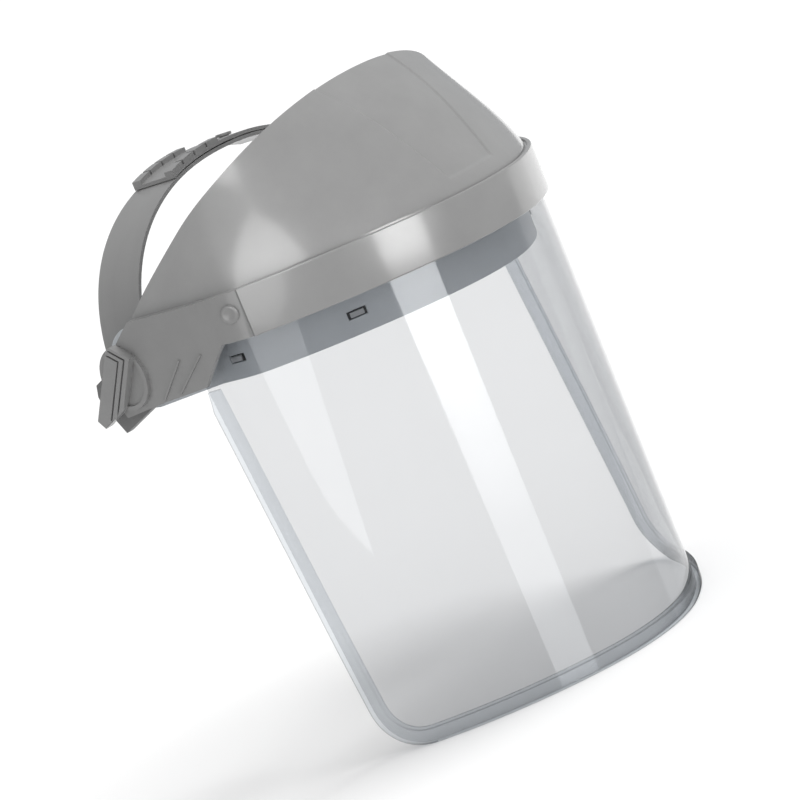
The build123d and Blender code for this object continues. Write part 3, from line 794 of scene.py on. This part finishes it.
# %% [markdown]
# The studio: a wide pale floor, an even white room, and one soft sun for a faint shadow. Glossy
# surfaces see a darker room with bright cards in it, as around a real set, so that the plastic and
# the clear sheet get broad soft highlights instead of an even veil.

# %% Floor, room and light
FLOOR_HALF = 60.0


def flat_card(name, corners, material):
    """One four-sided card."""
    mesh = bpy.data.meshes.new(name)
    mesh.from_pydata([tuple(corner) for corner in corners], [], [(0, 1, 2, 3)])
    card = bpy.data.objects.new(name, mesh)
    mesh.materials.append(material)
    scene.collection.objects.link(card)
    return card


floor_finish = Finish("studio_floor")
floor_tone = floor_finish.mix(floor_finish.noise(3, 2), grey(0.91), grey(0.935))
floor_shader = floor_finish.node("BsdfPrincipled", None, {
    "Base Color": floor_tone, "Roughness": 0.9, "Specular IOR Level": 0.0,
})
floor_material = floor_finish.close(floor_shader)
floor = flat_card("floor", [(-FLOOR_HALF, -FLOOR_HALF, 0), (FLOOR_HALF, -FLOOR_HALF, 0),
                            (FLOOR_HALF, FLOOR_HALF, 0), (-FLOOR_HALF, FLOOR_HALF, 0)], floor_material)
floor.visible_glossy = False

world = bpy.data.worlds.new("room")
scene.world = world
room = Finish("room", world)
glossy_ray = room.node("LightPath", out="Is Glossy Ray")
room_colour = room.mix(glossy_ray, (1.0, 1.0, 1.0, 1), (0.60, 0.61, 0.62, 1))
room.close(room.node("Background", None, {"Color": room_colour, "Strength": 0.66}), "World")

sun_data = bpy.data.lights.new("soft_sun", "SUN")
sun_data.energy = 1.75
sun_data.angle = math.radians(32)
sun = bpy.data.objects.new("soft_sun", sun_data)
scene.collection.objects.link(sun)
sun.visible_glossy = False
sun.rotation_euler = Vector((0.32, -0.24, 1.0)).to_track_quat("Z", "Y").to_euler()

# %% Reflector cards


def glow(name, low, high, low_z, high_z):
    """Light for a card that grows evenly from low to high between two heights."""
    finish = Finish(name)
    level = finish.node("MapRange", None, {
        "Value": finish.height(), "From Min": low_z, "From Max": high_z, "To Min": low, "To Max": high,
    })
    return finish.close(finish.node("Emission", None, {"Color": (1, 1, 1, 1), "Strength": level}))


def reflector(name, corners, distance, low, high, low_z, high_z):
    """A glowing card that only glossy surfaces see; its light grows from low to high between heights.

    Each corner is an azimuth from -Y towards -X and an elevation, in degrees, seen from the middle of
    the shield. The corners are joined as a fan round their centre.
    """
    turn, lift = np.radians(np.array(corners, float)).T
    away = np.stack([-np.sin(turn) * np.cos(lift), -np.cos(turn) * np.cos(lift), np.sin(lift)], axis=-1)
    rim = np.array(middle) + distance * away
    count = len(rim)
    mesh = bpy.data.meshes.new(name)
    fan = [(count, place, (place + 1) % count) for place in range(count)]
    mesh.from_pydata(np.vstack([rim, rim.mean(axis=0)]), [], fan)
    mesh.materials.append(glow(name + "_light", low, high, low_z, high_z))
    card = bpy.data.objects.new(name, mesh)
    scene.collection.objects.link(card)
    card.visible_camera = False
    card.visible_diffuse = False
    card.visible_shadow = False


reflector("card_band", [(8.5, -17), (8, -5), (9, 30), (24, 30), (25, -7), (22.5, -17)],
          6.0, 2.4, 9.0, -1.15, -0.55)
reflector("card_side", [(85, -7.5), (76, -10.2), (64.5, -12.3), (58, -7), (46.5, 26), (46.3, 39),
                        (49.3, 47.4), (57.9, 52), (64, 50), (67.4, 46), (70, 36), (72, 15)],
          6.0, 2.3, 5.0, -1.0, 3.0)
reflector("card_far", [(-66, -28), (-66, -1), (-125, 1), (-170, -1), (-170, -28), (-125, -30)],
          5.0, 1.15, 1.15, -1, 1)

scene.view_settings.view_transform = "Standard"
